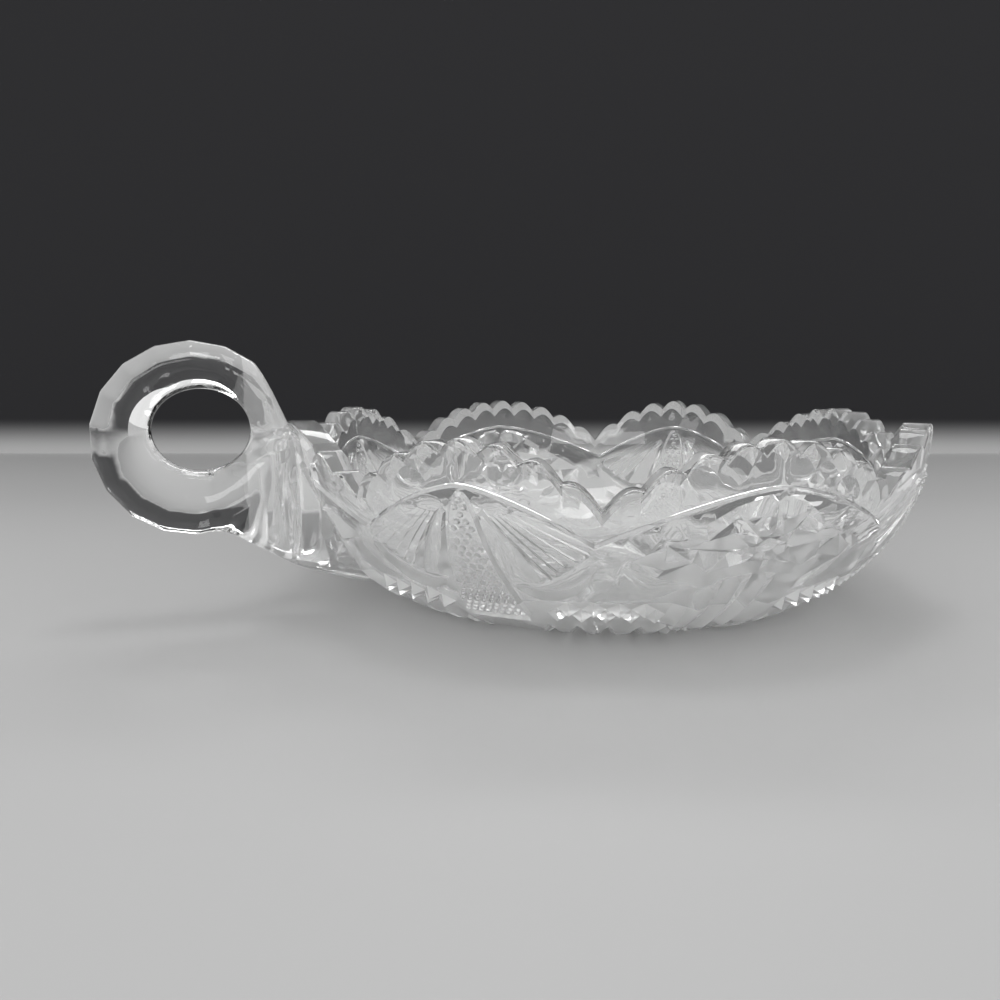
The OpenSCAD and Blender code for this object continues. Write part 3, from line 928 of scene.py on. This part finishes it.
def pressed_glass(look, name, bloom):
    """Clear pressed glass with the faint ripple of its mould, which scatters a share of the light."""
    clear = {"IOR": look.index, "Transmission_Weight": 1.0 - bloom}
    material, shader = new_material(name, Base_Color=look.tint, Roughness=look.polish, **clear)
    tree = material.node_tree
    add = Wire(tree).node
    place = add("ShaderNodeTexCoord", "Object")
    broad, fine = (
        add("ShaderNodeTexNoise", 0, Vector=place, Scale=scale, Detail=detail) for scale, detail in RIPPLES
    )
    height = broad + fine * FINE_SHARE
    ripple = add("ShaderNodeBump", 0, Height=height, Distance=look.ripple, Strength=1.0)
    tree.links.new(ripple.socket, shader.inputs["Normal"])


def glass_kinds(look):
    """The glass of each kind of face, in the order of the kinds, made once; the joint lets light through."""
    names = ("polished glass", "seamless glass joint", "patterned glass", "glass with painted foot light")
    if names[POLISHED] not in bpy.data.materials:
        new_material(names[CONTACT], Alpha=0.0, Roughness=0.0)
        # The last kind is the whiter glass of painted light on the foot
        for kind, bloom in ((POLISHED, 0.0), (PATTERNED, look.bloom), (PAINTED_FOOT_LIGHT, look.wear)):
            pressed_glass(look, names[kind], bloom)
    return [bpy.data.materials[name] for name in names]


def painted_backdrop_material(look):
    """A backdrop with painted light and shade: the floor's colour at its foot is a painted glow of light for
    a bright band behind the dish, and a little way up it fades to dark, painted shade for the darkness
    behind.
    """
    material, shader = new_material("backdrop of painted glow and shade", Roughness=0.9)
    tree = material.node_tree
    add = Wire(tree).node
    height = add("ShaderNodeSeparateXYZ", "Z", Vector=add("ShaderNodeTexCoord", "Object"))
    # Painted light: the floor's colour at the foot is a painted glow, and the dark colour above it is painted
    # shade
    fade = {"interpolation_type": "SMOOTHSTEP"}
    part = add("ShaderNodeMapRange", 0, fade, Value=height, From_Min=0.0, From_Max=BACKDROP_GLOW_FADE)
    shade = add("ShaderNodeMix", 2, {"data_type": "RGBA"}, s0=part, s6=look.floor, s7=look.backdrop)
    tree.links.new(shade.socket, shader.inputs["Base Color"])
    return material


def link_object(name, data):
    """A new object in the scene, at the origin."""
    piece = bpy.data.objects.new(name, data)
    bpy.context.scene.collection.objects.link(piece)
    return piece


def finish_piece(piece, nodes, crease):
    """Smooth faces with sharp creases, then the piece's place in the frame."""
    mesh = piece.data
    mesh.polygons.foreach_set("use_smooth", [True] * len(mesh.polygons))
    mesh.set_sharp_from_angle(angle=math.radians(crease))
    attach(piece, "root")
    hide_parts(*nodes)


def panels_tree():
    """Geometry nodes that mirror a half panel, turn it to three sides and join the handle's panel."""
    tree = bpy.data.node_groups.new("Panels round the bowl", "GeometryNodeTree")
    kinds = {"Half panel": "Object", "Handle panel": "Object", "Whole panels": "Int"}
    kinds |= {"Turn": "Float", "Weld distance": "Float", **{name: "Material" for name in KINDS}}
    for name, kind in kinds.items():
        tree.interface.new_socket(name, in_out="INPUT", socket_type=f"NodeSocket{kind}")
    tree.interface.new_socket("Geometry", in_out="OUTPUT", socket_type="NodeSocketGeometry")
    add = Wire(tree).node
    given = {name: add("NodeGroupInput", name) for name in kinds}
    half = add("GeometryNodeObjectInfo", "Geometry", Object=given["Half panel"])
    mirrored = add("GeometryNodeTransform", 0, Geometry=half, Scale=(1, -1, 1))
    other = add("GeometryNodeFlipFaces", 0, Mesh=mirrored)
    whole = add("GeometryNodeJoinGeometry", 0, Geometry=[half, other])
    turn = (add("GeometryNodeInputIndex", 0) - 1.0) * given["Turn"]
    turns = add("ShaderNodeCombineXYZ", 0, Z=turn)
    points = add("GeometryNodePoints", 0, Count=given["Whole panels"])
    around = add("GeometryNodeInstanceOnPoints", 0, Points=points, Instance=whole, Rotation=turns)
    handle = add("GeometryNodeObjectInfo", "Geometry", Object=given["Handle panel"])
    joined = add("GeometryNodeJoinGeometry", 0, Geometry=[around, handle])
    real = add("GeometryNodeRealizeInstances", 0, Geometry=joined)
    welded = add("GeometryNodeMergeByDistance", 0, Geometry=real, Distance=given["Weld distance"])
    glass = add("GeometryNodeSetMaterial", 0, Geometry=welded, Material=given[KINDS[POLISHED]])
    kind = add("GeometryNodeInputNamedAttribute", "Attribute", {"data_type": "INT"}, Name="kind")
    equal = {"data_type": "INT", "operation": "EQUAL"}
    for value in (CONTACT, PATTERNED, PAINTED_FOOT_LIGHT):
        same = add("FunctionNodeCompare", "Result", equal, A=kind, B=value)
        chosen = given[KINDS[value]]
        glass = add("GeometryNodeSetMaterial", 0, Geometry=glass, Selection=same, Material=chosen)
    add("NodeGroupOutput", None, Geometry=glass)
    return tree


def grown(name, tree, values):
    """A plain mesh object made by a geometry tree from its named values."""
    maker = link_object(name, bpy.data.meshes.new(name))
    modifier = maker.modifiers.new(name, "NODES")
    modifier.node_group = tree
    for item in tree.interface.items_tree:
        if item.in_out == "INPUT":
            modifier[item.identifier] = values[item.name]
    bpy.context.view_layer.update()
    graph = bpy.context.evaluated_depsgraph_get()
    mesh = bpy.data.meshes.new_from_object(maker.evaluated_get(graph), depsgraph=graph)
    maker.modifiers.clear()
    maker.data = mesh
    return maker


def close_check(mesh):
    """Raises an error if an edge isn't shared by two faces."""
    uses = np.zeros(len(mesh.edges), int)
    sides = np.zeros(len(mesh.loops), int)
    mesh.loops.foreach_get("edge_index", sides)
    np.add.at(uses, sides, 1)
    if (uses != 2).any():
        raise RuntimeError(f"{mesh.name} has {(uses != 2).sum()} open or crowded edges")


class HandleJoint:
    """The handle's surface and the star panel that it grows from, which share the face where they meet."""

    def __init__(self, settings):
        self.wall = Wall(settings.bowl)
        self.pattern = settings.pattern
        self.relief = PanelPattern(self.wall, self.pattern).build()
        form = HandleForm(self.wall, settings.handle)
        self.corners, self.faces, self.loop = form.clipped()
        self.neck = form.neck
        turn, self.down, _ = self.wall.find(self.corners[self.loop])
        self.turn = (turn - HANDLE_TURN + 180) % 360 - 180
        self.polygon = np.stack(self.wall.sheet(self.turn, self.down), -1)

    def gap(self, turn, down):
        """Distance on the sheet to the loop where the handle meets the wall."""
        x, y = self.wall.sheet(turn, down)
        return np.hypot(self.polygon[:, 0] - x, self.polygon[:, 1] - y).min()

    def inside(self, turn, down):
        """True where the handle covers the wall."""
        return in_polygon(self.polygon, *self.wall.sheet(turn, down))

    def clear(self, turn, down):
        """True where the pattern is well clear of the handle."""
        return self.gap(turn, down) >= LOOP_CLEAR and not self.inside(turn, down)

    def half_panel(self):
        """Half of a panel that the handle leaves alone."""
        turns = self.wall.rim_turns()
        return finish_panel(self.wall, self.relief, turns, 0.0, self.pattern, lambda t, d: False)[0]

    def handle_panel(self):
        """The whole panel at the handle, with what its cap needs: marks, their sources and triangles."""
        both = Relief(self.wall)
        ring = [both.mark(t, d, 0) for t, d in zip(self.turn, self.down)]
        both.lines += list(zip(ring, ring[1:] + ring[:1]))
        cap_turns, cap_downs = np.arange(-20, 20, 2.2), np.arange(1, 70, 3.2)
        for turn in cap_turns:
            for down in cap_downs:
                if self.inside(turn, down) and self.gap(turn, down) > CAP_CLEAR:
                    both.mark(turn, down, 0)
        for side in (1, -1):
            both.copy(self.relief, side, lambda t, d: self.clear(side * t, d))
        turns = self.wall.rim_turns()
        full = np.concatenate([-turns[:0:-1], turns])
        panel, *rest = finish_panel(self.wall, both, full, self.wall.plain, self.pattern, self.inside)
        spin = np.array(panel.corners)
        spin[:, :2] *= -1
        panel.corners = spin.tolist()
        return panel, ring, *rest

    def handle(self):
        """The handle's shell, closed with the panel's triangles inside the loop."""
        panel, ring, marks, sources, triangles = self.handle_panel()
        shell = Shell()
        shell.add(self.corners)
        for face in self.faces:
            # The root takes the hazier patterned glass, a painted highlight that makes it read whiter than
            # the polished ring
            root = -self.corners[list(face), 0].mean() < self.neck
            shell.face(*face, kind=PATTERNED if root else POLISHED)
        at_loop = dict(zip(ring, self.loop))
        spare = {}
        for triangle in triangles:
            if not self.inside(*marks[list(triangle)].mean(0)[:2]):
                continue
            cap = []
            for corner in reversed(triangle):
                if sources[corner] in at_loop:
                    cap.append(at_loop[sources[corner]])
                    continue
                if corner not in spare:
                    spare[corner] = shell.add([panel.corners[corner]])[0]
                cap.append(spare[corner])
            shell.face(*cap, kind=CONTACT)
        return shell


class NAPPY_OT_dish(bpy.types.Operator):
    """Makes the dish: rim, wall, base and pattern"""

    bl_idname = "nappy.dish"
    bl_label = "Dish"

    def execute(self, context):
        settings = context.scene.nappy
        joint = HandleJoint(settings)
        half = link_object("half panel", joint.half_panel().mesh("half panel"))
        whole = link_object("handle panel", joint.handle_panel()[0].mesh("handle panel"))
        values = {
            "Half panel": half,
            "Handle panel": whole,
            "Whole panels": 3,
            "Turn": math.radians(2 * HALF_PANEL),
            "Weld distance": 0.00001,
            **dict(zip(KINDS, glass_kinds(settings.look))),
        }
        dish = grown("dish", panels_tree(), values)
        for piece in (half, whole):
            bpy.data.objects.remove(piece)
        close_check(dish.data)
        finish_piece(dish, [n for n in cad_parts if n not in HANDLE_NODES], DISH_CREASE)
        return {"FINISHED"}


class NAPPY_OT_handle(bpy.types.Operator):
    """Makes the handle: the finger ring and its root"""

    bl_idname = "nappy.handle"
    bl_label = "Handle"

    def execute(self, context):
        settings = context.scene.nappy
        shell = HandleJoint(settings).handle()
        mesh = shell.mesh("handle")
        for glass in glass_kinds(settings.look)[:PAINTED_FOOT_LIGHT]:
            mesh.materials.append(glass)
        mesh.polygons.foreach_set("material_index", shell.kinds)
        close_check(mesh)
        finish_piece(link_object("handle", mesh), HANDLE_NODES, HANDLE_CREASE)
        return {"FINISHED"}


# The stage, in metres and watts; the camera's angle and lens are fitted to the rim, foot and ring
EYE = Vector((-0.0996, -0.2085, 0.056))
AHEAD = Vector((0.3362, 0.9418, 0))
PITCH = math.radians(8.752)
LENS, SENSOR = 34.3, 36
FLOOR_REACH, FLOOR_DROP = 3.0, 0.0002
# The last of these is the height over which the backdrop's painted glow of light fades into its painted shade
BACKDROP_DEPTH, BACKDROP_HALF, BACKDROP_HIGH, BACKDROP_GLOW_FADE = 0.54, 0.33, 0.29, 0.02
BOUNCES = 24
LAMP_TARGET = Vector((0, 0, 0.02))
LAMPS = (
    ("overhead softbox", (0, 0, 0.62), (0.2, 0.16), 0.5),
    ("back softbox", (0.16, 0.46, 0.50), (0.6, 0.1), 0.8),
    ("front softbox", (-0.55, -1.15, 0.42), (1.1, 0.4), 5.2),
    ("left lamp", (-0.7, -0.25, 0.35), (0.1, 0.3), 0.25),
    ("right lamp", (0.7, -0.1, 0.4), (0.1, 0.3), 0.25),
)


def area_lamp(name, place, size, watts):
    """A soft rectangular lamp that faces the dish."""
    data = bpy.data.lights.new(name, "AREA")
    data.shape = "RECTANGLE"
    data.size, data.size_y = size
    data.energy = watts
    lamp = link_object(name, data)
    lamp.location = place
    lamp.rotation_euler = (LAMP_TARGET - Vector(place)).to_track_quat("-Z", "Y").to_euler()


def flat_sheet(name, corners, material):
    """A plain sheet of the stage."""
    mesh = bpy.data.meshes.new(name)
    mesh.from_pydata(corners, [], [(0, 1, 2, 3)])
    mesh.materials.append(material)
    sheet = link_object(name, mesh)


class NAPPY_OT_stage(bpy.types.Operator):
    """Makes the floor, backdrop, lamps and camera"""

    bl_idname = "nappy.stage"
    bl_label = "Stage"

    def execute(self, context):
        scene = context.scene
        look = scene.nappy.look
        self.place_camera(scene)
        self.place_sheets(look)
        self.place_lamps(scene, look)
        scene.view_settings.view_transform = "Standard"
        for limit in ("max_bounces", "transmission_bounces", "transparent_max_bounces"):
            setattr(scene.cycles, limit, BOUNCES)
        return {"FINISHED"}

    @staticmethod
    def place_camera(scene):
        """Sets the camera at the photograph's angle."""
        data = bpy.data.cameras.new("camera")
        data.lens = LENS
        data.sensor_width = SENSOR
        data.clip_start = 0.005
        camera = link_object("camera", data)
        camera.location = EYE
        gaze = AHEAD * math.cos(PITCH) - Vector((0, 0, math.sin(PITCH)))
        camera.rotation_euler = gaze.to_track_quat("-Z", "Y").to_euler()
        scene.camera = camera

    @staticmethod
    def place_sheets(look):
        """Lays the floor and stands the backdrop square to the camera's way."""
        ground = Vector((0, 0, -FLOOR_DROP))
        ends = ((-1, -1, 0), (1, -1, 0), (1, 1, 0), (-1, 1, 0))
        floor = new_material("pale floor", Base_Color=look.floor, Roughness=0.6)[0]
        flat_sheet("floor", [ground + Vector(end) * FLOOR_REACH for end in ends], floor)
        # The backdrop: a dark sheet of painted shade with a painted glow of light at its foot
        up = Vector((0, 0, BACKDROP_HIGH))
        aside = Vector((AHEAD.y, -AHEAD.x, 0)) * BACKDROP_HALF
        far = Vector((EYE.x, EYE.y, 0)) + AHEAD * BACKDROP_DEPTH + ground
        corners = [far - aside, far + aside, far + aside + up, far - aside + up]
        flat_sheet("backdrop", corners, painted_backdrop_material(look))

    @staticmethod
    def place_lamps(scene, look):
        """Hangs the lamps and sets the even light of the world."""
        for lamp in LAMPS:
            area_lamp(*lamp)
        world = bpy.data.worlds.new("studio")
        world.use_nodes = True
        sky = world.node_tree.nodes["Background"].inputs
        sky["Strength"].default_value = look.sky
        sky["Color"].default_value = (1, 1, 1, 1)
        scene.world = world


class NAPPY_PT_panel(bpy.types.Panel):
    """Lists the settings and the steps of the nappy"""

    bl_idname = "NAPPY_PT_panel"
    bl_label = "Pressed-glass nappy"
    bl_space_type = "VIEW_3D"
    bl_region_type = "UI"
    bl_category = "Nappy"

    def draw(self, context):
        settings = context.scene.nappy
        for group in (settings.bowl, settings.pattern, settings.handle, settings.look):
            box = self.layout.box()
            for name in group.__annotations__:
                box.prop(group, name)
        for step in STEPS:
            self.layout.operator(step.bl_idname)


STEPS = (NAPPY_OT_dish, NAPPY_OT_handle, NAPPY_OT_stage)
CLASSES = (NappyBowl, NappyPattern, NappyHandle, NappyLook, NappySettings, *STEPS, NAPPY_PT_panel)


def register():
    for c in CLASSES:
        bpy.utils.register_class(c)
    bpy.types.Scene.nappy = bpy.props.PointerProperty(type=NappySettings)


def unregister():
    del bpy.types.Scene.nappy
    for c in reversed(CLASSES):
        bpy.utils.unregister_class(c)


def main():
    register()
    bpy.ops.nappy.dish()
    bpy.ops.nappy.handle()
    bpy.ops.nappy.stage()


if __name__ == "__main__":
    main()
